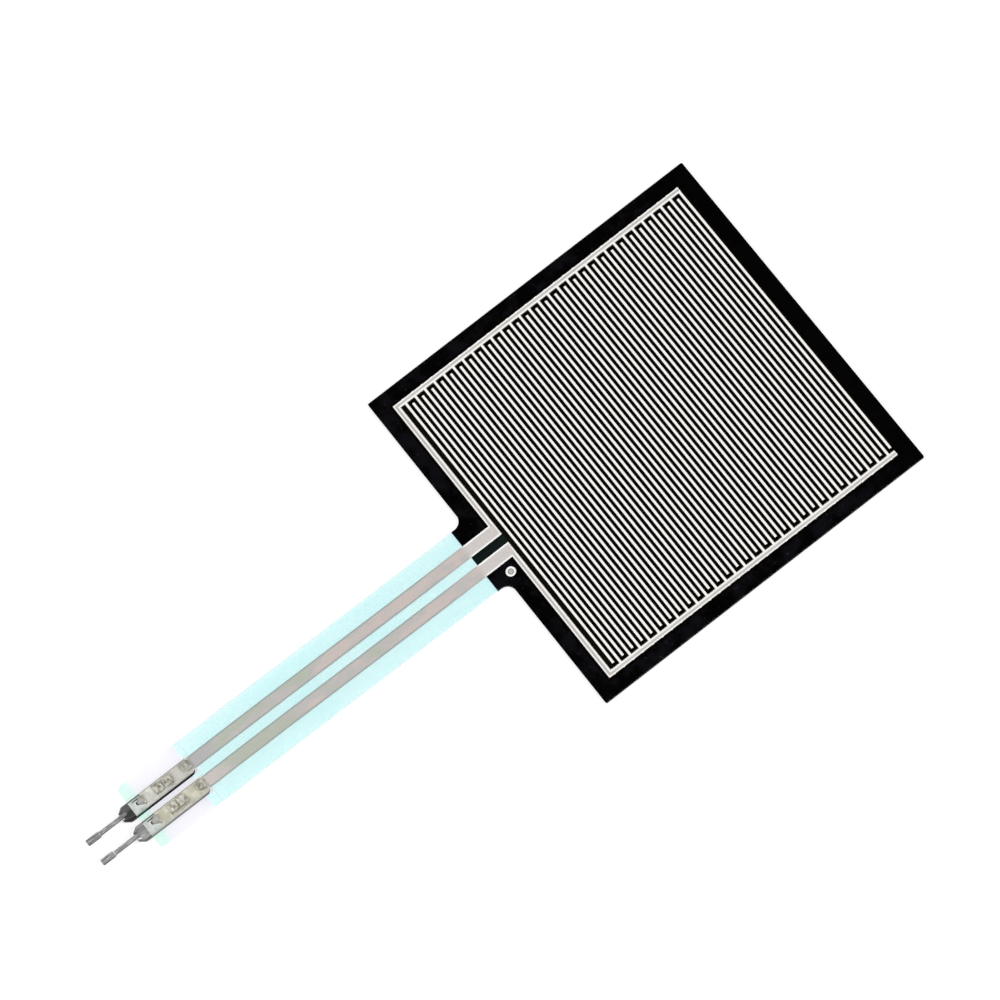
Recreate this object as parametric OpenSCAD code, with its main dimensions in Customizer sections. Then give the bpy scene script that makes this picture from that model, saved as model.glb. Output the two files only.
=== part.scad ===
/* [Sensing plate] */
// Side of the square plate
plate_side = 40; // [30:0.01:60]
// Corner radius of the plate
corner_r = 0.15; // [0.1:0.05:1]
// Bare border between the edge of the plate and the printed pattern
border_w = 1.8; // [1.5:0.05:5]
// Clearance between the printed pattern and the spacer around it
cavity_clear = 0.25; // [0.1:0.05:0.35]

/* [Comb electrodes] */
// Width of a finger
finger_w = 0.3; // [0.25:0.01:0.8]
// Gap between neighbouring fingers
finger_gap = 0.301; // [0.2:0.001:0.8]
// Width of the buses that carry the fingers
bus_w = 0.65; // [0.4:0.05:2]
// Gap between the bus beside the tail and the first finger
lead_gap = 0.47; // [0.3:0.01:1.5]
// Gap between the tip of a finger and the bus of the other comb
tip_gap = 0.38; // [0.2:0.01:1]

/* [Tail] */
// Length of the tail, from the edge of the plate to the free end of the film
tail_l = 43.5; // [30:0.1:80]
// Width of the tail
tail_w = 7.8; // [7.6:0.1:12]
// Radius of the two corners at the free end of the tail
tail_end_r = 0.5; // [0.1:0.05:1]
// Radius of the two inside corners where the tail leaves the plate
root_r = 1.05; // [0.5:0.05:3]
// Length of the stub of the back layers under the tail
stub_l = 1.45; // [0.5:0.05:5]
// Width of the printed trace that runs down the tail
trace_w = 1.48; // [0.8:0.02:1.6]
// Length of the coated strip at the free end, where the traces stop
end_strip_l = 1.45; // [0.5:0.05:1.5]
// Width of the vent channel in the spacer, between the traces
vent_w = 0.6; // [0.3:0.05:0.8]

/* [Layers] */
// Thickness of the clear front film
front_film_t = 0.127; // [0.05:0.001:0.25]
// Thickness of the back film
back_film_t = 0.127; // [0.05:0.001:0.25]
// Thickness of the spacer adhesive between the films
spacer_t = 0.152; // [0.08:0.001:0.3]
// Thickness of the printed silver
silver_t = 0.02; // [0.01:0.001:0.05]
// Thickness of the printed carbon
carbon_t = 0.02; // [0.01:0.001:0.05]
// Thickness of the insulating coat over the silver of the tail
coat_t = 0.02; // [0.01:0.001:0.05]
// Thickness of the adhesive on the back
adhesive_t = 0.05; // [0.03:0.001:0.15]

/* [Corner mark] */
// Outer diameter of the printed ring beside the tail
mark_d = 1.05; // [0.6:0.05:1.1]
// Line width of the printed ring
mark_line = 0.22; // [0.1:0.02:0.24]
// Gap between the ring and the dot in its middle
mark_gap = 0.06; // [0.02:0.02:0.2]
// Distance between the mark and the trace beside it
mark_clear = 0.62; // [0.2:0.02:1]

/* [Terminals] */
// Distance between the two pins
pin_pitch = 2.54; // [2.4:0.01:3.2]
// Thickness of the terminal sheet
sheet_t = 0.2; // [0.15:0.01:0.25]
// Width of the terminal channel
term_w = 1.76; // [1.7:0.02:2.1]
// Depth of the terminal channel, web included
term_h = 0.9; // [0.7:0.05:1.5]
// Outer radius of the bends along the channel
bend_r = 0.3; // [0.26:0.01:0.32]
// Radius of the two corners of the channel at its inner end, from above
inner_end_r = 0.6; // [0.3:0.05:0.7]
// Length of the channel under the film
seat_l = 7.5; // [7:0.1:12]
// Length of the straight channel in front of the film
nose_l = 0.8; // [0.4:0.05:3]
// Length of the taper between the channel and the pin
neck_l = 0.6; // [0.4:0.05:2]
// Width of the taper at its narrow end
neck_w = 0.92; // [0.8:0.02:1.2]
// Length of the pin in front of the taper
pin_l = 4.2; // [3:0.1:12]
// Width of the pin
pin_w = 0.46; // [0.4:0.01:0.6]
// Height of the pin
pin_h = 0.36; // [0.3:0.01:0.5]
// Length of the flattened tip of the pin
tip_l = 1.8; // [1:0.1:2.5]
// Width of the flattened tip
tip_w = 0.64; // [0.62:0.01:0.9]
// Height of the flattened tip
tip_h = 0.25; // [0.2:0.01:0.28]

/* [Crimp lances] */
// Width of a lance
lance_w = 1; // [0.6:0.02:1.04]
// Length of a lance that is folded over the film
lance_l = 0.95; // [0.7:0.05:1.05]
// Height of a lance over the film, pressed flat from the sheet
lance_t = 0.12; // [0.1:0.01:0.15]
// Gap between the two lances that face each other
pair_gap = 0.16; // [0.1:0.02:0.6]
// How far the facing pair stands off the middle between the other two, away from the pins
pair_shift = 0.1; // [0:0.05:0.3]
// Clearance of the slots that the lances pass through
slot_clear = 0.05; // [0.03:0.01:0.08]
// Web left between the free end of the film and the first window
front_land = 0.4; // [0.3:0.05:0.7]
// Web left behind the last window
rear_land = 0.2; // [0.2:0.05:0.7]

/* [Hidden] */
$fn = 64;

// How far a cutting shape stands past what it cuts
past = 1;
// Radius of the edges along the pin
pin_edge_r = 0.12;
// Length over which the pin widens into its tip, and the bevel at the very end
tip_taper_l = 0.3;
tip_bevel = 0.08;
// Groove pressed along the top of the tip
groove_r = 0.2;
groove_d = 0.05;
// Height of the channel walls where they end at the pin, and at the other end
ear_h = 0.3;
tail_wall_h = 0.4;
// Length of the slope at the inner end of the channel walls
wall_bevel_l = 0.5;
// Depth of the notches between the pin and the walls of the taper
notch_l = 0.5;
// Width of the pointed lance at its tip
lance_point_w = 0.24;
// How far a lance runs into the web behind its hinge
lance_root = 0.1;
// Gap between the coat of the tail and the terminals
coat_gap = 0.05;
// Straight lengths of tail before and after its gentle rise, and the steps of the rise
rise_land = 3;
rise_steps = 24;

// Heights of the layers above the back face of the plate
back_z = adhesive_t;
carbon_z = back_z + back_film_t;
spacer_z = carbon_z + carbon_t;
front_z = spacer_z + spacer_t;
silver_z = front_z - silver_t;
coat_z = silver_z - coat_t;
top_z = front_z + front_film_t;

// The tail rises so that its terminals stand on the same surface as the plate
web_z = term_h;
tail_rise = web_z + silver_t - front_z;

// Places along the tail
half_side = plate_side / 2;
stub_x = -(half_side + stub_l);
film_end = -(half_side + tail_l);
trace_end = film_end + end_strip_l;
coat_end = film_end + seat_l + coat_gap;
rise_start = stub_x - rise_land;
rise_l = tail_l - stub_l - seat_l - 2 * rise_land;

// The printed pattern
pattern_half = half_side - border_w;
finger_pitch = finger_w + finger_gap;
first_finger_x = -pattern_half + bus_w + lead_gap + finger_w / 2;
finger_pairs = floor((pattern_half - finger_w / 2 - first_finger_x) / (2 * finger_pitch));
pattern_end = first_finger_x + 2 * finger_pairs * finger_pitch + finger_w / 2;
finger_tip_y = -(pattern_half - bus_w - tip_gap);
trace_y = (pin_pitch - trace_w) / 2;
cavity_half = pattern_half + cavity_clear;
mark_x = -(half_side + cavity_half) / 2;
mark_y = -(trace_y + trace_w + mark_clear + mark_d / 2);
dot_d = mark_d - 2 * (mark_line + mark_gap);

// The terminals, each measured from the end of the film and the top of its web
film_stack_t = silver_t + front_film_t;
fold_l = film_stack_t + sheet_t / 2;
window_l = lance_l + fold_l;
window_w = lance_w + 2 * slot_clear;
front_x = -(nose_l + neck_l);
pin_end_x = front_x - pin_l;
taper_angle = atan((term_w - neck_w) / 2 / neck_l);
first_hinge = front_land + window_l;
last_hinge = seat_l - rear_land;
pair_middle = (first_hinge + last_hinge - window_l) / 2 + pair_shift;
pair_reach = lance_l + pair_gap / 2;

// Each lance: its hinge, the way it folds, and the shape of its end
LANCES = [
    [first_hinge, -1, "point"],
    [pair_middle - pair_reach, 1, "square"],
    [pair_middle + pair_reach, -1, "square"],
    [last_hinge, -1, "round"]
];

function ease(t) = let (u = min(max(t, 0), 1)) u * u * (3 - 2 * u);
function rise(x) = tail_rise * ease((rise_start - x) / rise_l);
function tail_stations() = concat(
    [half_side + past],
    [for (i = [0 : rise_steps]) rise_start - rise_l * i / rise_steps],
    [film_end - past]
);

// A band of even thickness that follows the tail, as wide as the plate
module band(z, t) {
    stations = tail_stations();
    last = len(stations) - 1;
    rotate([90, 0, 0])
        linear_extrude(height = plate_side + 2 * past, center = true)
            polygon(concat(
                [for (x = stations) [x, z + rise(x)]],
                [for (i = [0 : last]) [stations[last - i], z + t + rise(stations[last - i])]]
            ));
}

// A layer with the outline of its child, laid along the tail
module layer(z, t) {
    intersection() {
        band(z, t);
        translate([0, 0, -past])
            linear_extrude(height = top_z + term_h + 2 * past)
                children();
    }
}

module flat_layer(z, t) {
    translate([0, 0, z])
        linear_extrude(height = t)
            children();
}

// What a corner of radius r leaves bare, in the corner of two square sides
module corner_waste(r) {
    difference() {
        translate([-past, -past])
            square(r + past);
        translate([r, r])
            circle(r);
        translate([r, -2 * past])
            square(2 * past);
        translate([-2 * past, r])
            square(2 * past);
    }
}

module rounded_square(side, r) {
    difference() {
        square(side, center = true);
        for (turn = [0 : 90 : 270])
            rotate(turn)
                translate([-side / 2, -side / 2])
                    corner_waste(r);
    }
}

module tail_outline() {
    difference() {
        translate([film_end, -tail_w / 2])
            square([tail_l + border_w / 2, tail_w]);
        for (side = [0, 1])
            mirror([0, side])
                translate([film_end, -tail_w / 2])
                    corner_waste(tail_end_r);
    }
    for (side = [0, 1])
        mirror([0, side])
            difference() {
                translate([-half_side - root_r, tail_w / 2 - corner_r])
                    square([root_r + corner_r, root_r + corner_r]);
                translate([-half_side - root_r, tail_w / 2 + root_r])
                    circle(root_r);
            }
}

module film_outline() {
    rounded_square(plate_side, corner_r);
    tail_outline();
}

module back_outline() {
    intersection() {
        film_outline();
        translate([stub_x, -half_side])
            square([stub_l + plate_side, plate_side]);
    }
}

module trace() {
    translate([trace_end, trace_y])
        square([-pattern_half + bus_w - trace_end, trace_w]);
}

// One comb, with its trace and buses on the +Y side and its first finger at place number first
module comb(first) {
    trace();
    translate([-pattern_half, trace_y])
        square([bus_w, pattern_half - trace_y]);
    translate([-pattern_half, pattern_half - bus_w])
        square([pattern_half + pattern_end, bus_w]);
    for (i = [first : 2 : 2 * finger_pairs])
        translate([first_finger_x + i * finger_pitch - finger_w / 2, finger_tip_y])
            square([finger_w, pattern_half - bus_w / 2 - finger_tip_y]);
}

module corner_mark_outline() {
    translate([mark_x, mark_y]) {
        difference() {
            circle(d = mark_d);
            circle(d = mark_d - 2 * mark_line);
        }
        circle(d = dot_d);
    }
}

// Slots through the film and the silver, where the lances of both terminals rise
module lance_slots() {
    for (side = [-1, 1])
        translate([film_end, side * pin_pitch / 2])
            for (lance = LANCES)
                translate([lance[0], 0])
                    scale([lance[1], 1])
                        translate([-slot_clear, -lance_w / 2 - slot_clear])
                            square([sheet_t + 2 * slot_clear, window_w]);
}

module front_film() {
    color([0.86, 0.97, 0.98, 0.35])
        layer(front_z, front_film_t)
            difference() {
                film_outline();
                lance_slots();
            }
}

module electrode(first) {
    layer(silver_z, silver_t)
        difference() {
            comb(first);
            lance_slots();
        }
}

module electrode_a() {
    color([0.82, 0.81, 0.8])
        electrode(0);
}

module electrode_b() {
    color([0.82, 0.81, 0.8])
        mirror([0, 1, 0])
            electrode(1);
}

module corner_mark() {
    color([0.85, 0.85, 0.85])
        flat_layer(silver_z, silver_t)
            corner_mark_outline();
}

// The coat fills the space beside the traces and covers them
module tail_coat() {
    color([0.8, 0.97, 0.98, 0.6])
        difference() {
            layer(coat_z, silver_t + coat_t)
                translate([coat_end, -tail_w / 2])
                    square([stub_x - coat_end, tail_w]);
            layer(silver_z, silver_t)
                for (side = [0, 1])
                    mirror([0, side])
                        trace();
        }
}

module end_strip() {
    color([0.86, 0.96, 0.93, 0.6])
        layer(silver_z, silver_t)
            intersection() {
                difference() {
                    tail_outline();
                    lance_slots();
                }
                translate([film_end, -tail_w / 2])
                    square([end_strip_l, tail_w]);
            }
}

module spacer_adhesive() {
    color([0.12, 0.12, 0.12])
        difference() {
            flat_layer(spacer_z, spacer_t)
                difference() {
                    back_outline();
                    square(2 * cavity_half, center = true);
                    translate([stub_x - past, -vent_w / 2])
                        square([half_side, vent_w]);
                }
            flat_layer(silver_z, silver_t + past) {
                corner_mark_outline();
                for (side = [0, 1])
                    mirror([0, side])
                        trace();
            }
        }
}

module carbon_layer() {
    color([0.03, 0.03, 0.03])
        flat_layer(carbon_z, carbon_t)
            back_outline();
}

module back_film() {
    color([0.1, 0.1, 0.1])
        flat_layer(back_z, back_film_t)
            back_outline();
}

module rear_adhesive() {
    color([0.75, 0.73, 0.68])
        flat_layer(0, adhesive_t)
            back_outline();
}

// A long block with its top edge along X rounded, its side at y = 0 and its top at z = 0
module edge_block(r, drop) {
    reach = 2 * (seat_l + nose_l + neck_l);
    rotate([90, 0, 90])
        linear_extrude(height = 2 * reach, center = true)
            difference() {
                translate([-reach, -drop])
                    square([reach, drop]);
                rotate(180)
                    corner_waste(r);
            }
}

// The channel as a solid block, set in by the thickness given
module channel_block(inset, drop) {
    translate([0, 0, -inset])
        intersection_for (side = [0, 1])
            mirror([0, side, 0])
                intersection() {
                    translate([0, term_w / 2 - inset, 0])
                        edge_block(bend_r - inset, drop);
                    translate([-nose_l, term_w / 2, 0])
                        rotate(taper_angle)
                            translate([0, -inset, 0])
                                edge_block(bend_r - inset, drop);
                }
}

// Side view of the channel, bevelled at both ends
module channel_side() {
    rotate([90, 0, 0])
        linear_extrude(height = 2 * term_w, center = true)
            polygon([
                [front_x, past], [seat_l, past], [seat_l, -tail_wall_h],
                [seat_l - wall_bevel_l, -term_h], [-nose_l / 2, -term_h], [front_x, -pin_h - ear_h]
            ]);
}

// Plan view of the channel, with the two corners of its inner end rounded
module channel_plan() {
    translate([0, 0, -term_h - past])
        linear_extrude(height = term_h + 2 * past)
            difference() {
                translate([front_x, -term_w])
                    square([seat_l - front_x, 2 * term_w]);
                for (side = [0, 1])
                    mirror([0, side])
                        translate([seat_l, -term_w / 2])
                            mirror([1, 0])
                                corner_waste(inner_end_r);
            }
}

module channel() {
    difference() {
        intersection() {
            channel_block(0, term_h);
            channel_side();
            channel_plan();
        }
        channel_block(sheet_t, term_h);
        for (lance = LANCES)
            translate([lance[0], 0, 0])
                scale([lance[1], 1, 1])
                    translate([0, -window_w / 2, -sheet_t - past])
                        cube([window_l, window_w, sheet_t + 2 * past]);
        for (side = [0, 1])
            mirror([0, side, 0])
                translate([0, 0, -pin_h])
                    linear_extrude(height = pin_h + past)
                        polygon([
                            [front_x - past, pin_w / 2], [front_x + notch_l, pin_w / 2],
                            [front_x, neck_w / 2], [front_x - past, neck_w / 2 + past]
                        ]);
    }
}

// Outline of a lance from above, from its root in the web to its end
module lance_plan(shape) {
    bent_l = sheet_t + slot_clear;
    if (shape == "point")
        polygon([
            [-lance_root, -lance_w / 2], [bent_l, -lance_w / 2], [lance_l, -lance_point_w / 2],
            [lance_l, lance_point_w / 2], [bent_l, lance_w / 2], [-lance_root, lance_w / 2]
        ]);
    else if (shape == "round") {
        translate([-lance_root, -lance_w / 2])
            square([lance_root + lance_l - lance_w / 2, lance_w]);
        translate([lance_l - lance_w / 2, 0])
            circle(lance_w / 2);
    }
    else
        translate([-lance_root, -lance_w / 2])
            square([lance_root + lance_l, lance_w]);
}

// Side view of a lance: bent up out of the web, through the film and over it
module lance_side() {
    fold_x = sheet_t + slot_clear;
    translate([-lance_root, -sheet_t])
        square([lance_root, sheet_t]);
    intersection() {
        circle(sheet_t);
        translate([0, -sheet_t])
            square(sheet_t);
    }
    square([sheet_t, film_stack_t - slot_clear]);
    translate([fold_x, film_stack_t - slot_clear])
        intersection() {
            difference() {
                circle(fold_x);
                circle(slot_clear);
            }
            translate([-fold_x, 0])
                square([fold_x, slot_clear + lance_t]);
        }
    translate([fold_x, film_stack_t])
        square([lance_l - fold_x - lance_t, lance_t]);
    translate([lance_l - lance_t, film_stack_t])
        intersection() {
            circle(lance_t);
            square(lance_t);
        }
}

module lance(shape) {
    intersection() {
        rotate([90, 0, 0])
            linear_extrude(height = lance_w, center = true)
                lance_side();
        translate([0, 0, -term_h])
            linear_extrude(height = 2 * term_h)
                lance_plan(shape);
    }
}

module pin_section() {
    difference() {
        translate([-pin_w / 2, -pin_h])
            square([pin_w, pin_h]);
        for (side = [0, 1])
            mirror([side, 0]) {
                translate([-pin_w / 2, -pin_h])
                    corner_waste(pin_edge_r);
                translate([-pin_w / 2, 0])
                    mirror([0, 1])
                        corner_waste(pin_edge_r);
            }
    }
}

// The flattened tip, from its plan and its side view
module pin_tip() {
    taper_x = pin_end_x + tip_l - tip_taper_l;
    difference() {
        intersection() {
            translate([0, 0, -pin_h])
                linear_extrude(height = pin_h)
                    polygon([
                        [pin_end_x, -tip_w / 2 + tip_bevel], [pin_end_x + tip_bevel, -tip_w / 2],
                        [taper_x, -tip_w / 2], [taper_x + tip_taper_l, -pin_w / 2 + pin_edge_r],
                        [taper_x + tip_taper_l, pin_w / 2 - pin_edge_r], [taper_x, tip_w / 2],
                        [pin_end_x + tip_bevel, tip_w / 2], [pin_end_x, tip_w / 2 - tip_bevel]
                    ]);
            translate([0, 0, -pin_h / 2])
                rotate([90, 0, 0])
                    linear_extrude(height = tip_w, center = true)
                        polygon([
                            [pin_end_x, -tip_h / 2], [taper_x, -tip_h / 2],
                            [taper_x + tip_taper_l, -pin_h / 2], [taper_x + tip_taper_l, pin_h / 2],
                            [taper_x, tip_h / 2], [pin_end_x, tip_h / 2]
                        ]);
        }
        translate([pin_end_x - past, 0, -pin_h / 2 + tip_h / 2 + groove_r - groove_d])
            rotate([0, 90, 0])
                cylinder(r = groove_r, h = past + tip_l - tip_taper_l);
    }
}

module pin() {
    pin_start_x = pin_end_x + tip_l - tip_taper_l / 2;
    translate([pin_start_x, 0, 0])
        rotate([90, 0, 90])
            linear_extrude(height = -nose_l - pin_start_x)
                pin_section();
    pin_tip();
}

module terminal() {
    channel();
    for (lance = LANCES)
        translate([lance[0], 0, 0])
            scale([lance[1], 1, 1])
                lance(lance[2]);
    pin();
}

module terminal_a() {
    color([0.74, 0.73, 0.7])
        translate([film_end, pin_pitch / 2, web_z])
            terminal();
}

module terminal_b() {
    color([0.74, 0.73, 0.7])
        translate([film_end, -pin_pitch / 2, web_z])
            terminal();
}

front_film();
electrode_a();
electrode_b();
corner_mark();
tail_coat();
end_strip();
spacer_adhesive();
carbon_layer();
back_film();
rear_adhesive();
terminal_a();
terminal_b();
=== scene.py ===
from math import cos, pi, radians, sin
import bpy
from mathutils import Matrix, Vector

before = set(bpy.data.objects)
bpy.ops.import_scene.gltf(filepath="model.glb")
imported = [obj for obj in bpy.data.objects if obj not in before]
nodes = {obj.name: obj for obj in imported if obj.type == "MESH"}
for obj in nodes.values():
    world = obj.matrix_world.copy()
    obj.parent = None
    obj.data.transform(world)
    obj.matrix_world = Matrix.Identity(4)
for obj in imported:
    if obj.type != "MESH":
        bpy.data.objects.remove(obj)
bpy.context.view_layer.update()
mm = 0.001
print("sensor loaded:", len(nodes), "nodes")

# shared sizes of the print, in millimetres, as the pieces have them
layout = {
    "patternHalf": 18.2,
    "busWidth": 0.65,
    "traceWidth": 1.48,
    "traceMiddle": 1.27,  # of each trace, to either side of the tail's middle
    "firstFinger": -16.93,
    "fingerPitch": 0.601,
    "fingerWidth": 0.3,
    "stubEnd": -21.45,
    "coatEnd": -55.95,
    "stripStart": -62.05,
    "filmEnd": -63.5,
    "terminalWidth": 1.76,
    "wallSeen": 0.3,  # how far a side wall shows past its terminal
    "webTop": 0.9,
    "pairMiddle": -59.55,  # of the gap between the two facing lances
    "roundLance": -56.7,  # middle of the round lance
    "mark": (-19.225, -3.155),
}


# small helpers for node materials
def addNode(tree, kind, **settings):
    node = tree.nodes.new(kind)
    for key, value in settings.items():
        setattr(node, key, value)
    return node


def plug(tree, socket, value):
    if isinstance(value, bpy.types.NodeSocket):
        tree.links.new(value, socket)
    elif hasattr(value, "__len__") and len(value) == 3 and socket.type == "RGBA":
        socket.default_value = (*value, 1)
    else:
        socket.default_value = value


def maths(tree, operation, *values):
    node = addNode(tree, "ShaderNodeMath", operation=operation)
    for socket, value in zip(node.inputs, values):
        plug(tree, socket, value)
    return node.outputs[0]


def fade(tree, value, start, end, low=0.0, high=1.0):
    # low at start and high at end, smooth between
    node = addNode(tree, "ShaderNodeMapRange", interpolation_type="SMOOTHSTEP")
    for name, number in (("Value", value), ("From Min", start), ("From Max", end),
                         ("To Min", low), ("To Max", high)):
        plug(tree, node.inputs[name], number)
    return node.outputs[0]


def mixColour(tree, factor, first, second, blend="MIX"):
    node = addNode(tree, "ShaderNodeMix", data_type="RGBA", blend_type=blend)
    plug(tree, node.inputs[0], factor)
    plug(tree, node.inputs[6], first)
    plug(tree, node.inputs[7], second)
    return node.outputs[2]


def scaleColour(tree, colour, share):
    node = addNode(tree, "ShaderNodeVectorMath", operation="SCALE")
    plug(tree, node.inputs[0], colour)
    plug(tree, node.inputs["Scale"], share)
    return node.outputs[0]


def stripe(tree, value, middle, half, soft):
    # 1 within half of the middle, 0 beyond
    away = maths(tree, "ABSOLUTE", maths(tree, "SUBTRACT", value, middle))
    return fade(tree, away, half + soft / 2, half - soft / 2)


def both(tree, first, second):
    return maths(tree, "MULTIPLY", first, second)


def either(tree, first, second):
    return maths(tree, "MAXIMUM", first, second)


class Surface:
    # One material: its tree, its shader, and where a point is, in millimetres
    def __init__(self, name, **plain):
        self.material = bpy.data.materials.new(name)
        self.material.use_nodes = True
        self.tree = self.material.node_tree
        self.shader = self.tree.nodes["Principled BSDF"]
        where = addNode(self.tree, "ShaderNodeTexCoord").outputs["Object"]
        scaled = addNode(self.tree, "ShaderNodeVectorMath", operation="SCALE")
        plug(self.tree, scaled.inputs[0], where)
        scaled.inputs["Scale"].default_value = 1000
        self.place = scaled.outputs[0]
        self.x, self.y, self.z = self.split(self.place)
        for key, value in plain.items():
            self.set(key, value)

    def split(self, vector):
        axes = addNode(self.tree, "ShaderNodeSeparateXYZ")
        plug(self.tree, axes.inputs[0], vector)
        return axes.outputs

    def facing(self):
        # which way the surface faces along x, y and z
        return self.split(addNode(self.tree, "ShaderNodeTexCoord").outputs["Normal"])

    def set(self, key, value):
        names = {"colour": "Base Color", "metal": "Metallic", "rough": "Roughness",
                 "ior": "IOR", "gloss": "Specular IOR Level", "alpha": "Alpha"}
        plug(self.tree, self.shader.inputs[names[key]], value)

    def noise(self, scale, detail=2.0, rough=0.5, stretch=(1, 1, 1)):
        # scale is in grains per millimetre
        place = self.place
        if stretch != (1, 1, 1):
            node = addNode(self.tree, "ShaderNodeVectorMath", operation="MULTIPLY")
            plug(self.tree, node.inputs[0], place)
            node.inputs[1].default_value = stretch
            place = node.outputs[0]
        node = addNode(self.tree, "ShaderNodeTexNoise")
        plug(self.tree, node.inputs["Vector"], place)
        node.inputs["Scale"].default_value = scale
        node.inputs["Detail"].default_value = detail
        node.inputs["Roughness"].default_value = rough
        return node.outputs[0]

    def bump(self, height, distance, strength=1.0):
        # distance in millimetres
        node = addNode(self.tree, "ShaderNodeBump")
        node.inputs["Strength"].default_value = strength
        node.inputs["Distance"].default_value = distance * mm
        plug(self.tree, node.inputs["Height"], height)
        plug(self.tree, self.shader.inputs["Normal"], node.outputs[0])

    def wear(self, *names):
        for name in names:
            mesh = nodes[name].data
            mesh.materials.clear()
            mesh.materials.append(self.material)


# camera, at the photograph's angle
camera = {
    "place": (-0.059876, -0.242426, 0.759363),
    "turn": (16.2082, 8.4353, -36.983),  # degrees about x, y and z
    "lens": 288,
    "nearest": 0.01,
    "farthest": 20,
}
cameraData = bpy.data.cameras.new("camera")
cameraData.lens = camera["lens"]
cameraData.clip_start, cameraData.clip_end = camera["nearest"], camera["farthest"]
cameraObject = bpy.data.objects.new("camera", cameraData)
cameraObject.location = camera["place"]
cameraObject.rotation_euler = [radians(a) for a in camera["turn"]]
bpy.context.scene.collection.objects.link(cameraObject)
bpy.context.scene.camera = cameraObject
bpy.context.scene.view_settings.view_transform = "Standard"
print("camera placed")


# floor that curves up into a backdrop, and soft lamps
studio = {
    "paper": (0.34, 0.34, 0.34),
    "paperGlow": 0.72,  # what camera, gloss and see-through rays find on top
    "flatRadius": 0.9,
    "wallRadius": 1.4,
    "wallHeight": 0.55,
    "gap": 0.000004,  # below the part
    "steps": 72,  # round the floor
    "bends": 10,  # up the curve to the backdrop
    "sky": 0.06,
    "lamps": [
        # name, place, side of the soft box, power in watts
        ("keyLamp", (0.42, -0.5, 0.55), 0.5, 5.8),
        ("fillLamp", (-0.6, 0.1, 0.5), 0.5, 4.68),
        ("rimLamp", (0.25, 0.75, 0.45), 0.4, 2.95),
    ],
}


def makeMesh(name, corners, faces):
    mesh = bpy.data.meshes.new(name)
    mesh.from_pydata(corners, [], faces)
    mesh.validate()
    mesh.update()
    thing = bpy.data.objects.new(name, mesh)
    bpy.context.scene.collection.objects.link(thing)
    return thing


def makeFloor(studio):
    steps, bends, gap = studio["steps"], studio["bends"], studio["gap"]
    flat, wall, rise = studio["flatRadius"], studio["wallRadius"], studio["wallHeight"]
    rings = [(flat / 3, 0.0), (flat, 0.0)]
    for i in range(1, bends + 1):
        turn = pi / 2 * i / bends
        rings.append((flat + (wall - flat) * sin(turn), rise * (1 - cos(turn))))
    corners = [(0, 0, -gap)]
    for radius, height in rings:
        for i in range(steps):
            angle = 2 * pi * i / steps
            corners.append((radius * cos(angle), radius * sin(angle), height - gap))
    faces = [(0, 1 + i, 1 + (i + 1) % steps) for i in range(steps)]
    for ring in range(len(rings) - 1):
        low, high = 1 + ring * steps, 1 + (ring + 1) * steps
        for i in range(steps):
            j = (i + 1) % steps
            faces.append((low + i, high + i, high + j, low + j))
    floor = makeMesh("studioFloor", corners, faces)
    for face in floor.data.polygons:
        face.use_smooth = True
    return floor


def paperMaterial(studio):
    material = bpy.data.materials.new("palePaper")
    material.use_nodes = True
    tree = material.node_tree
    tree.nodes.clear()
    matt = addNode(tree, "ShaderNodeBsdfDiffuse")
    glow = addNode(tree, "ShaderNodeEmission")
    rays = addNode(tree, "ShaderNodeLightPath")
    total = addNode(tree, "ShaderNodeAddShader")
    out = addNode(tree, "ShaderNodeOutputMaterial")
    plug(tree, matt.inputs["Color"], studio["paper"])
    plug(tree, glow.inputs["Color"], (1, 1, 1))
    seen = either(tree, rays.outputs["Is Camera Ray"], rays.outputs["Is Glossy Ray"])
    seen = either(tree, seen, rays.outputs["Is Transmission Ray"])
    plug(tree, glow.inputs["Strength"], maths(tree, "MULTIPLY", seen, studio["paperGlow"]))
    tree.links.new(matt.outputs[0], total.inputs[0])
    tree.links.new(glow.outputs[0], total.inputs[1])
    tree.links.new(total.outputs[0], out.inputs["Surface"])
    return material


floor = makeFloor(studio)
floor.data.materials.append(paperMaterial(studio))

for name, place, side, power in studio["lamps"]:
    lamp = bpy.data.lights.new(name, "AREA")
    lamp.shape, lamp.size, lamp.energy = "SQUARE", side, power
    holder = bpy.data.objects.new(name, lamp)
    holder.location = place
    holder.rotation_euler = Vector(place).to_track_quat("Z", "Y").to_euler()
    bpy.context.scene.collection.objects.link(holder)

world = bpy.data.worlds.new("softSky")
world.use_nodes = True
sky = world.node_tree.nodes["Background"]
sky.inputs["Color"].default_value = (1, 1, 1, 1)
sky.inputs["Strength"].default_value = studio["sky"]
bpy.context.scene.world = world
print("studio made")


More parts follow.
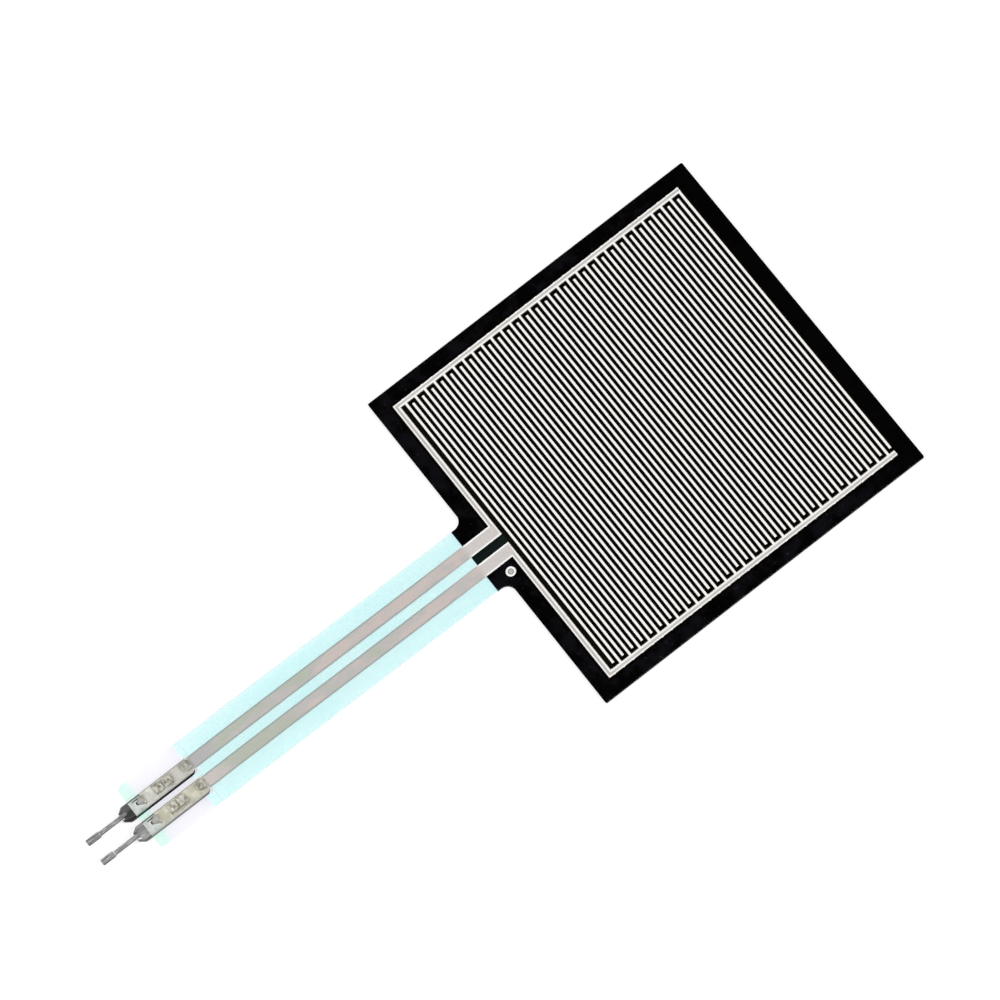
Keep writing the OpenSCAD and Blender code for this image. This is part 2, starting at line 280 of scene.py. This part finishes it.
# silver print: the two combs, their traces and the small ring
silverPrint = {
    "finger": (0.98, 0.972, 0.952),
    "fingerEdge": (0.143, 0.108, 0.073),
    "fingerCore": 0.086,  # half width of a finger's thick middle
    "busCore": (0.545, 0.524, 0.498),
    "busPale": 1.12,  # how much lighter the paler blotches of the buses are
    "rim": 0.175,  # the pale rim of the traces' roots, in millimetres
    "busRims": (0.17, 0.24),  # the same of the buses, outside and inside
    "busThin": (0.04, 0.06),  # where their ink runs thin
    "stubCore": (0.65, 0.61, 0.59),
    "traceGreen": (0.435, 0.455, 0.38),
    "traceGrey": (0.485, 0.455, 0.435),
    "tracePink": (0.56, 0.475, 0.445),
    "traceNearEnd": {"A": (0.415, 0.40, 0.405), "B": (0.57, 0.51, 0.49)},
    "traceEdge": (0.30, 0.335, 0.315),
    "edge": 0.15,  # the darker edge of a trace over the coat
    "edgeSoft": 0.2,
    "edgeTurn": (-28, -22),  # x where that edge fades towards the plate
    "bloomTurn": (-46, -36),  # x where the bloom turns from green to pink
    "lastPart": (-52, -55),  # x where the colour near the terminals takes over
    "tailBus": 0.98,  # how much darker the bus beside the tail is
    "overTerminals": {"A": (0.76, 0.745, 0.69), "B": (0.79, 0.76, 0.63)},
    "overTerminalsDark": {"A": (0.60, 0.59, 0.53), "B": (0.60, 0.58, 0.46)},
    "alongTerminalA": (0.9, 1.12),  # duller towards the plate
    "alongTerminalX": (-58.2, -60.4),  # and where that changes
    "dot": (0.50, 0.51, 0.50),
    "speck": (0.94, 0.94, 0.94),
    "rough": (0.42, 0.6),
    "gloss": 0.35,
    "bump": 0.002,
    # grains per millimetre
    "blotchScale": 0.35,
    "grainScale": 5.0,
    "bumpScale": 9.0,
    "bloomScale": 0.16,
    "finerScale": 0.75,
    "dentScale": 1.1,
}


def inBlock(s, x0, x1, y0, y1, soft=0.06):
    # 1 inside a rectangle on both sides of the tail's middle line
    absY = maths(s.tree, "ABSOLUTE", s.y)
    return both(s.tree, stripe(s.tree, s.x, (x0 + x1) / 2, (x1 - x0) / 2, soft),
                stripe(s.tree, absY, (y0 + y1) / 2, (y1 - y0) / 2, soft))


def thinBusEdge(s, edges):
    # 1 along the edges of the buses, 0 on the fingers and where fingers or traces join
    tree, x = s.tree, s.x
    outer, inner = edges
    half, pitch = layout["patternHalf"], layout["fingerPitch"]
    high = layout["traceMiddle"] + layout["traceWidth"] / 2
    within = half - layout["busWidth"]
    away = maths(tree, "ABSOLUTE", s.y)
    sides = inBlock(s, -half + outer, half, within + inner, half - outer, 0.03)
    end = inBlock(s, -half + outer, -within - inner, -1, half - outer, 0.03)
    root = inBlock(s, -100, -within - inner, -1, high, 0.03)
    pastBus = fade(tree, x, -within - 0.015, -within + 0.015)
    comb = both(tree, pastBus, fade(tree, away, within + 0.015, within - 0.015))
    # each comb's own fingers are two pitches apart
    own = maths(tree, "PINGPONG", maths(tree, "SUBTRACT", x, layout["firstFinger"]), pitch)
    own = maths(tree, "SUBTRACT", own, fade(tree, s.y, 0.1, -0.1, 0.0, pitch))
    own = maths(tree, "ABSOLUTE", own)
    joins = both(tree, pastBus, fade(tree, own, 0.15, 0.1))
    thick = either(tree, either(tree, sides, end), either(tree, root, comb))
    pattern = fade(tree, x, -half - 0.1, -half - 0.02)
    return both(tree, pattern, maths(tree, "SUBTRACT", 1.0, either(tree, thick, joins)))


def makeSilver(look):
    s = Surface("silverInk", metal=0.0, gloss=look["gloss"])
    tree, x = s.tree, s.x
    half, bus, rim = layout["patternHalf"], layout["busWidth"], look["rim"]
    middle, width = layout["traceMiddle"], layout["traceWidth"]
    low, high = middle - width / 2, middle + width / 2
    blotch = s.noise(look["blotchScale"], 3, 0.6)
    grain = s.noise(look["grainScale"], 2, 0.6)

    # buses and the roots of the traces are grey inside a pale rim
    within = half - bus  # to the inner edges of the buses
    outer, inner = look["busRims"]
    busCore = either(tree,
                     inBlock(s, -half + outer, half - outer, within + inner, half - outer),
                     inBlock(s, -half + outer, -within - inner, low + inner, half - outer))
    stubCore = inBlock(s, layout["stubEnd"] - 5, -within - rim, low + rim, high - rim)
    busGrey = mixColour(tree, fade(tree, blotch, 0.35, 0.65), look["busCore"],
                        tuple(c * look["busPale"] for c in look["busCore"]))
    # fingers thin out towards their edges
    across = maths(tree, "PINGPONG", maths(tree, "SUBTRACT", x, layout["firstFinger"]),
                   layout["fingerPitch"] / 2)
    thin = fade(tree, across, look["fingerCore"], layout["fingerWidth"] / 2)
    absY = maths(tree, "ABSOLUTE", s.y)
    inComb = both(tree, fade(tree, x, 0.1 - within, 0.2 - within),
                  fade(tree, absY, within + 0.02, within - 0.1))
    thin = either(tree, both(tree, thin, inComb), thinBusEdge(s, look["busThin"]))
    comb = mixColour(tree, thin, look["finger"], look["fingerEdge"])
    atTail = fade(tree, x, 0.1 - within, -within)
    busGrey = mixColour(tree, atTail, busGrey,
                        tuple(c * look["tailBus"] for c in look["busCore"]))
    colour = mixColour(tree, busCore, comb, busGrey)
    colour = mixColour(tree, stubCore, colour, look["stubCore"])

    # traces: pink and green bloom along the tail, darker edges over the coat
    bloom = s.noise(look["bloomScale"], 2, 0.5, (1, 2.6, 1))
    bloom = maths(tree, "ADD", bloom, fade(tree, x, *look["bloomTurn"], -0.1, 0.06))
    finer = s.noise(look["finerScale"], 2, 0.5, (1, 1.6, 1))
    bloom = maths(tree, "ADD", bloom, fade(tree, finer, 0.3, 0.7, -0.055, 0.055))
    trace = mixColour(tree, fade(tree, bloom, 0.36, 0.49),
                      look["traceGreen"], look["traceGrey"])
    trace = mixColour(tree, fade(tree, bloom, 0.49, 0.62), trace, look["tracePink"])
    sideA = fade(tree, s.y, -0.1, 0.1)
    lastPart = mixColour(tree, sideA, look["traceNearEnd"]["B"], look["traceNearEnd"]["A"])
    trace = mixColour(tree, fade(tree, x, *look["lastPart"], 0, 0.8), trace, lastPart)
    edge = look["edge"]
    core = inBlock(s, -100, 0, low + edge, high - edge, look["edgeSoft"])
    darker = mixColour(tree, fade(tree, x, *look["edgeTurn"], 0.0, 0.6),
                       look["traceEdge"], trace)
    trace = mixColour(tree, core, darker, trace)
    onTail = fade(tree, x, layout["stubEnd"] + 0.35, layout["stubEnd"] - 0.35)
    colour = mixColour(tree, onTail, colour, trace)
    atEnd = fade(tree, x, layout["coatEnd"] + 0.2, layout["coatEnd"] - 0.3)
    dents = fade(tree, s.noise(look["dentScale"], 3, 0.6, (1, 0.7, 1)), 0.42, 0.6)
    light, dark = look["overTerminals"], look["overTerminalsDark"]
    pressedA = scaleColour(tree, mixColour(tree, dents, light["A"], dark["A"]),
                           fade(tree, x, *look["alongTerminalX"], *look["alongTerminalA"]))
    pressedB = mixColour(tree, dents, light["B"], dark["B"])
    colour = mixColour(tree, atEnd, colour, mixColour(tree, sideA, pressedB, pressedA))

    # the dot inside the small ring
    markX, markY = layout["mark"]
    away = maths(tree, "ADD",
                 maths(tree, "POWER", maths(tree, "SUBTRACT", x, markX), 2.0),
                 maths(tree, "POWER", maths(tree, "SUBTRACT", s.y, markY), 2.0))
    colour = mixColour(tree, fade(tree, away, 0.09, 0.065), colour, look["dot"])

    speck = mixColour(tree, fade(tree, grain, 0.3, 0.75), look["speck"], (1, 1, 1))
    s.set("colour", mixColour(tree, 1.0, colour, speck, "MULTIPLY"))
    s.set("rough", fade(tree, grain, 0.3, 0.7, *look["rough"]))
    s.bump(s.noise(look["bumpScale"], 2, 0.5), look["bump"])
    return s


makeSilver(silverPrint).wear("electrode_a", "electrode_b", "corner_mark")
print("silver print done")


# black layers below the combs
carbonPrint = {
    "colour": (0.0007, 0.0005, 0.0003),
    "lighter": (0.0021, 0.0014, 0.0008),
    "betweenTraces": (0.0068, 0.0118, 0.0106),
    "firstGap": (0.0042, 0.0034, 0.0018),  # beside the bus at the tail
    "rough": (0.6, 0.75),
    "gloss": 0.015,
    "grain": 6.0,
    "bump": 0.002,
}
spacerTape = {
    "colour": (0.0004, 0.0004, 0.0004),
    "lighter": (0.0011, 0.0011, 0.0011),
    "betweenTraces": (0.0068, 0.0118, 0.0106),
    "smudge": (0.0044, 0.0038, 0.0054),
    "speck": (0.014, 0.014, 0.016),
    "fewer": (19, 12),  # x where smudges and specks fade out, away from the tail
    "smudgeScale": 0.45,
    "speckScale": 2.2,
    "rough": (0.55, 0.7),
    "gloss": 0.005,
    "grain": 1.2,
    "bump": 0.0004,
}
backFilm = {
    "colour": (0.006, 0.006, 0.0065),
    "lighter": (0.010, 0.010, 0.0105),
    "rough": (0.16, 0.3),
    "gloss": 0.5,
    "grain": 0.8,
    "stretch": (1, 0.3, 1),  # drawn out across the tail
    "bump": 0.0015,
}
rearGlue = {
    "colour": (0.012, 0.012, 0.011),
    "lighter": (0.024, 0.023, 0.020),
    "rough": (0.35, 0.62),
    "gloss": 0.35,
    "grain": 2.0,
    "bump": 0.01,
}


def makeLayer(name, look):
    s = Surface(name, metal=0.0, gloss=look["gloss"])
    grain = s.noise(look["grain"], 4, 0.65, look.get("stretch", (1, 1, 1)))
    cloud = s.noise(look["grain"] * 0.12, 2, 0.5)
    mottled = maths(s.tree, "MULTIPLY", grain, cloud)
    colour = mixColour(s.tree, fade(s.tree, mottled, 0.12, 0.42),
                       look["colour"], look["lighter"])
    if "smudge" in look:
        fewer = fade(s.tree, s.x, *look["fewer"], 0.1, 1.0)
        smudge = fade(s.tree, s.noise(look["smudgeScale"], 3, 0.6), 0.42, 0.64)
        smudge = both(s.tree, fewer, smudge)
        colour = mixColour(s.tree, smudge, colour, look["smudge"])
        speck = fade(s.tree, s.noise(look["speckScale"], 2, 0.5), 0.67, 0.73)
        speck = both(s.tree, fewer, speck)
        colour = mixColour(s.tree, speck, colour, look["speck"])
    inner = layout["busWidth"] - layout["patternHalf"]
    if "firstGap" in look:
        beside = layout["firstFinger"] - layout["fingerWidth"] / 2
        gap = stripe(s.tree, s.x, (inner + beside) / 2, (beside - inner) / 2, 0.04)
        colour = mixColour(s.tree, gap, colour, look["firstGap"])
    if "betweenTraces" in look:
        gap = layout["traceMiddle"] - layout["traceWidth"] / 2
        bar = both(s.tree, stripe(s.tree, s.y, 0.0, gap, 0.06),
                   fade(s.tree, s.x, inner + 0.05, inner - 0.05))
        colour = mixColour(s.tree, bar, colour, look["betweenTraces"])
    s.set("colour", colour)
    s.set("rough", fade(s.tree, grain, 0.3, 0.7, *look["rough"]))
    s.bump(grain, look["bump"])
    return s


makeLayer("carbonInk", carbonPrint).wear("carbon_layer")
makeLayer("spacerTape", spacerTape).wear("spacer_adhesive")
makeLayer("blackBackFilm", backFilm).wear("back_film")
makeLayer("rearGlue", rearGlue).wear("rear_adhesive")
print("black layers done")


# clear film, and the tinted coats below it
clearFilm = {
    "alpha": 0.025,
    "alphaOverPlate": 0.015,
    "alphaAtTerminals": 0.056,
    "alphaInCrimp": 0.2,  # painted light over the shaded gap between the facing lances, where the film is nipped
    "alphaAtEdgeOn": 0.4,  # gained where the film is seen at a slant
    "alphaAtBareEdgeOn": 0.06,  # the same between the coats
    "overPlate": (0.004, 0.004, 0.004),
    "overCoat": (0.85, 0.97, 1.0),
    "besideTerminals": (0.12, 0.09, 0.60),
    "smear": (0.56, 0.985, 0.995),  # the coat's end, run out beside the terminals
    "smearAlpha": 0.36,
    "smearReach": (0.5, 0.95),  # past the coat, on the +y side and on the -y side
    "paintedLightInCrimp": (0.66, 0.65, 0.55),
    "overTerminals": (0.02, 0.02, 0.02),
    "overStrip": (0.55, 0.95, 0.8),
    "rough": (0.2, 0.32),
    "gloss": 0.5,
    "ior": 1.6,
    "scratchScale": 1.6,
    "bump": 0.0003,
    "shrink": 0.002,  # keeps its underside clear of the print, in millimetres
}
tailCoat = {
    "alpha": 0.42,
    "alphaAtEnd": 0.36,
    "alphaAtEdges": 0.36,
    "deep": (0.56, 0.985, 0.995),
    "light": (0.64, 1.0, 1.0),
    "sides": (3.4, 3.8),  # where it pales towards the sides of the tail
    "endLength": 0.7,
    "rough": (0.35, 0.5),
    "gloss": 0.15,
    "bump": 0.0003,
    "shrink": 0.0015,
}
endStrip = {
    "alpha": 0.16,
    "alphaOverTerminals": 0.03,
    "alphaAtInnerEdge": 0.03,
    "deep": (0.06, 0.84, 0.62),
    "light": (0.14, 0.92, 0.70),
    "innerLength": 0.75,
    "rough": (0.35, 0.5),
    "gloss": 0.15,
    "bump": 0.0003,
    "shrink": 0.0015,
}


def shrink(name, amount):
    thinner = nodes[name].modifiers.new("clearance", "DISPLACE")
    thinner.mid_level = 0
    thinner.strength = -amount * mm


def overTerminals(s, soft):
    # 1 above each terminal and its wall on the -y side, 0 beside them
    reach, wall = layout["terminalWidth"] / 2, layout["wallSeen"]
    middle = layout["traceMiddle"]
    bands = [stripe(s.tree, s.y, side * middle - wall / 2, reach + wall / 2, soft)
             for side in (1, -1)]
    return either(s.tree, *bands)


def makeFilm(film):
    s = Surface("clearFilm", metal=0.0, gloss=film["gloss"], ior=film["ior"])
    tree = s.tree
    onTail = fade(tree, s.x, layout["stubEnd"] + 0.1, layout["stubEnd"] - 0.1)
    atEnd = fade(tree, s.x, layout["coatEnd"] + 0.1, layout["coatEnd"] - 0.02)
    colour = mixColour(tree, onTail, film["overPlate"], film["overCoat"])
    above = overTerminals(s, 0.12)
    start = layout["stripStart"]
    beside = mixColour(tree, fade(tree, s.x, start + 0.1, start - 0.8),
                       film["besideTerminals"], film["overStrip"])
    near, far = film["smearReach"]
    past = maths(tree, "SUBTRACT", layout["coatEnd"], s.x)
    reach = fade(tree, s.y, 3.9, -3.9, near, far)
    smear = fade(tree, maths(tree, "SUBTRACT", reach, past), -0.2, 0.2)
    smear = both(tree, both(tree, smear, fade(tree, past, -0.03, 0.0)),
                 maths(tree, "SUBTRACT", 1.0, above))
    beside = mixColour(tree, fade(tree, smear, 0.0, 0.6), beside, film["smear"])
    bare = mixColour(tree, above, beside, film["overTerminals"])
    # painted light over the shaded gap between the two facing lances
    crimp = both(tree, stripe(tree, s.x, layout["pairMiddle"], 0.12, 0.06),
                 stripe(tree, maths(tree, "ABSOLUTE", s.y), layout["traceMiddle"], 0.5, 0.1))
    bare = mixColour(tree, crimp, bare, film["paintedLightInCrimp"])
    s.set("colour", mixColour(tree, atEnd, colour, bare))
    slant = maths(tree, "POWER", addNode(tree, "ShaderNodeLayerWeight").outputs["Facing"], 3.0)
    alpha = fade(tree, onTail, 0.0, 1.0, film["alphaOverPlate"], film["alpha"])
    alpha = fade(tree, atEnd, 0.0, 1.0, alpha, film["alphaAtTerminals"])
    alpha = fade(tree, crimp, 0.0, 1.0, alpha, film["alphaInCrimp"])
    alpha = fade(tree, smear, 0.1, 1.0, alpha, film["smearAlpha"])
    gain = fade(tree, atEnd, 0.0, 1.0, film["alphaAtEdgeOn"], film["alphaAtBareEdgeOn"])
    s.set("alpha", maths(tree, "MULTIPLY_ADD", slant, gain, alpha))
    scratch = s.noise(film["scratchScale"], 2, 0.5, (0.15, 2, 1))
    s.set("rough", fade(tree, scratch, 0.35, 0.7, *film["rough"]))
    s.bump(scratch, film["bump"])
    return s


def makeCoat(name, look, alphaAt):
    s = Surface(name, metal=0.0, gloss=look["gloss"])
    s.set("alpha", alphaAt(s, look))
    cloud = s.noise(0.25, 3, 0.6, (0.5, 1.6, 1))
    s.set("colour", mixColour(s.tree, fade(s.tree, cloud, 0.35, 0.65),
                              look["deep"], look["light"]))
    s.set("rough", fade(s.tree, s.noise(3.0), 0.3, 0.7, *look["rough"]))
    s.bump(s.noise(4.0, 2, 0.5), look["bump"])
    return s


def coatAlpha(s, look):
    # paler along the sides of the tail and at the end
    tree, end = s.tree, layout["coatEnd"]
    away = maths(tree, "ABSOLUTE", s.y)
    sides = fade(tree, away, *look["sides"], look["alpha"], look["alphaAtEdges"])
    return fade(tree, s.x, end, end + look["endLength"], look["alphaAtEnd"], sides)


def stripAlpha(s, look):
    # hardly seen over the terminals, and fading out towards the plate
    tree, start = s.tree, layout["stripStart"]
    alpha = fade(tree, overTerminals(s, 0.1), 0.0, 1.0,
                 look["alpha"], look["alphaOverTerminals"])
    pale = look["alphaAtInnerEdge"]
    return fade(tree, s.x, start, start - look["innerLength"], pale, alpha)


makeFilm(clearFilm).wear("front_film")
makeCoat("cyanCoat", tailCoat, coatAlpha).wear("tail_coat")
makeCoat("mintCoat", endStrip, stripAlpha).wear("end_strip")
shrink("front_film", clearFilm["shrink"])
shrink("tail_coat", tailCoat["shrink"])
shrink("end_strip", endStrip["shrink"])
print("film and coats done")


# stamped terminals
terminal = {
    "metal": 0.6,
    "webMetal": 0.15,
    "lanceMetal": 0.3,
    "tin": (0.87, 0.86, 0.82),
    "tinDark": (0.68, 0.67, 0.62),
    "pin": (0.68, 0.68, 0.68),
    "pinDark": (0.26, 0.26, 0.27),
    "lance": (0.66, 0.645, 0.56),
    "lanceDark": (0.40, 0.39, 0.32),
    "lanceSpot": (0.22, 0.21, 0.16),
    "lanceHighlight": (0.92, 0.91, 0.86),
    "pointed": (0.46, 0.45, 0.43),
    "pierced": (0.04, 0.04, 0.04),  # painted shade of the hole where the pointed lance digs into the film
    "lanceTop": 0.26,  # above the web, in millimetres
    "lanceTip": 0.65,  # from the end of the film
    "lanceHalf": 0.5,
    "lanceLength": 0.95,
    "pointedReach": 1.7,  # the pointed lance ends here, from the end of the film
    "lanceRim": 0.64,  # how much of its colour the edge of a lance keeps, as painted shade
    "pointedRim": 0.82,
    "dimple": (0.34, 0.335, 0.30),  # painted shade of a ring pressed into the round lance
    "dimpleRadius": 0.3,
    "wallShade": 0.3,  # how much of its colour a wall of the nose or pin keeps
    "farEdge": 0.14,  # painted shade: the same for the bends that face +y
    "pinRoot": 0.75,  # and for the pin where it runs into the nose
    "tips": {"A": 0.74, "B": 0.95},  # and for the flat tips of the pins
    "tipFrom": 3.8,  # where they start, in millimetres beyond the film
    "noseLength": 1.3,
    "wallFrom": 0.56,  # the side walls start here, from the terminal's middle
    "bendFrom": 0.6,
    "bendHeight": 0.74,
    "rough": (0.3, 0.5),
    "bump": 0.003,
    "bevel": 0.012,
    "bevelSteps": 2,
    "bevelAngle": 35,
    "weld": 0.0005,
    # the two halves of each nose, in tones of painted dark reflection, darker on the first
    "noses": {"A": ((0.135, 0.14, 0.138), (0.062, 0.063, 0.063)),
              "B": ((0.32, 0.32, 0.32), (0.46, 0.46, 0.45))},
    # painted shade on the side wall that faces -y, lighter at its top and darker at its foot;
    # near black on the first, which faces the other terminal
    "wallTops": {"A": (0.30, 0.30, 0.29), "B": (0.68, 0.67, 0.61)},
    "walls": {"A": (0.002, 0.002, 0.002), "B": (0.58, 0.57, 0.51)},
    "feet": {"A": (0.002, 0.002, 0.002), "B": (0.22, 0.22, 0.22)},
    "footHeight": 0.3,
    "topHeight": 0.56,
}


def makeTerminal(letter, look):
    s = Surface("tinnedBrass" + letter, gloss=0.0)
    tree, end = s.tree, layout["filmEnd"]
    side = layout["traceMiddle"] if letter == "A" else -layout["traceMiddle"]
    _, back, up = s.facing()
    drawn = s.noise(3.0, 3, 0.65, (0.25, 4, 4))
    patch = s.noise(1.4, 3, 0.6)

    # web and walls
    tin = mixColour(tree, fade(tree, patch, 0.35, 0.7), look["tin"], look["tinDark"])
    # painted shade on the bends that face +y
    bend, height = side + look["bendFrom"], look["bendHeight"]
    farBend = both(tree, fade(tree, back, 0.15, 0.45),
                   fade(tree, s.y, bend - 0.05, bend + 0.05))
    farBend = both(tree, farBend, fade(tree, s.z, height - 0.04, height + 0.04))
    tin = scaleColour(tree, tin, fade(tree, farBend, 0.0, 1.0, 1.0, look["farEdge"]))
    # painted shade on the -y side wall: its top, its middle and its foot
    foot = fade(tree, s.z, look["footHeight"] + 0.08, look["footHeight"] - 0.08)
    top = fade(tree, s.z, look["topHeight"] - 0.12, look["topHeight"] + 0.12)
    wall = mixColour(tree, top, look["walls"][letter], look["wallTops"][letter])
    wall = mixColour(tree, foot, wall, look["feet"][letter])
    onWall = both(tree, fade(tree, up, 0.6, 0.3), fade(tree, back, -0.05, -0.3))
    start = side - look["wallFrom"]
    onWall = both(tree, onWall, fade(tree, s.y, start + 0.06, start - 0.06))
    colour = mixColour(tree, onWall, tin, wall)

    # lances over the film: mottled with painted highlights, the pointed one greyer, the round
    # one with a painted shade ring
    mottle = s.noise(2.8, 2, 0.5, (1, 0.7, 1))
    lance = mixColour(tree, fade(tree, mottle, 0.44, 0.56), look["lance"], look["lanceDark"])
    reach = end + look["pointedReach"]
    lance = mixColour(tree, fade(tree, s.x, reach + 0.1, reach - 0.1, 0, 0.8),
                      lance, look["pointed"])
    lance = mixColour(tree, fade(tree, mottle, 0.60, 0.68), lance, look["lanceSpot"])
    # painted highlight: white spots on the lances
    lance = mixColour(tree, fade(tree, mottle, 0.36, 0.31), lance, look["lanceHighlight"])
    tip = end + look["lanceTip"]
    # painted shade at the tip, where it digs into the film
    lance = mixColour(tree, fade(tree, s.x, tip + 0.2, tip + 0.1), lance, look["pierced"])
    # painted shade along the edges of the lances, the pointed one's drawing in to its tip
    slope = look["lanceHalf"] / look["lanceLength"]
    half = maths(tree, "MULTIPLY", maths(tree, "SUBTRACT", s.x, tip), slope)
    half = maths(tree, "MINIMUM", half, look["lanceHalf"])
    inside = maths(tree, "ABSOLUTE", maths(tree, "SUBTRACT", s.y, side))
    inside = maths(tree, "SUBTRACT", half, inside)
    rim = fade(tree, s.x, reach + 0.1, reach - 0.1, look["lanceRim"], look["pointedRim"])
    lance = scaleColour(tree, lance, fade(tree, inside, 0.05, 0.14, rim, 1.0))
    # painted shade of the ring pressed into the round lance
    away = addNode(tree, "ShaderNodeVectorMath", operation="DISTANCE")
    plug(tree, away.inputs[0], s.place)
    lanceTop = layout["webTop"] + look["lanceTop"]
    away.inputs[1].default_value = (layout["roundLance"], side, lanceTop)
    ring = stripe(tree, away.outputs["Value"], look["dimpleRadius"], 0.07, 0.12)
    lance = mixColour(tree, ring, lance, look["dimple"])
    aboveFilm = fade(tree, s.z, layout["webTop"] + 0.04, layout["webTop"] + 0.12)
    colour = mixColour(tree, aboveFilm, colour, lance)

    # nose in two tones of painted reflection, and the pin, both with painted shade on their
    # walls
    # painted dark reflection in two tones across each nose
    left, right = look["noses"][letter]
    across = fade(tree, s.y, side - 0.15, side + 0.2)
    nose = mixColour(tree, across, right, left)
    nose = scaleColour(tree, nose, fade(tree, drawn, 0.38, 0.64, 0.8, 1.5))
    pin = mixColour(tree, fade(tree, drawn, 0.4, 0.62), look["pinDark"], look["pin"])
    root = both(tree, stripe(tree, s.y, side, 0.2, 0.12),
                fade(tree, s.x, end - 0.5, end - 0.95))
    nose = mixColour(tree, root, nose, scaleColour(tree, pin, look["pinRoot"]))
    neck = end - look["noseLength"]
    front = mixColour(tree, fade(tree, s.x, neck + 0.15, neck - 0.15), nose, pin)
    past = end - look["tipFrom"]
    atTip = fade(tree, s.x, past + 0.2, past - 0.2, 1.0, look["tips"][letter])
    front = scaleColour(tree, front, atTip)
    front = scaleColour(tree, front, fade(tree, up, 0.45, 0.9, look["wallShade"], 1.0))
    colour = mixColour(tree, fade(tree, s.x, end + 0.02, end - 0.06), colour, front)

    s.set("colour", colour)
    metal = fade(tree, aboveFilm, 0.0, 1.0, look["webMetal"], look["lanceMetal"])
    # terminal A's wall with painted shade is kept matt
    if letter == "A":
        metal = fade(tree, onWall, 0.0, 1.0, metal, 0.0)
    s.set("metal", fade(tree, s.x, end + 0.02, end - 0.06, metal, look["metal"]))
    s.set("rough", fade(tree, drawn, 0.35, 0.65, *look["rough"]))
    s.bump(either(tree, drawn, both(tree, mottle, aboveFilm)), look["bump"])
    return s


makeTerminal("A", terminal).wear("terminal_a")
makeTerminal("B", terminal).wear("terminal_b")
for name in ("terminal_a", "terminal_b"):
    weld = nodes[name].modifiers.new("weld", "WELD")
    weld.merge_threshold = terminal["weld"] * mm
    edge = nodes[name].modifiers.new("edges", "BEVEL")
    edge.width = terminal["bevel"] * mm
    edge.segments = terminal["bevelSteps"]
    edge.angle_limit = radians(terminal["bevelAngle"])
    edge.limit_method = "ANGLE"
print("terminals done")
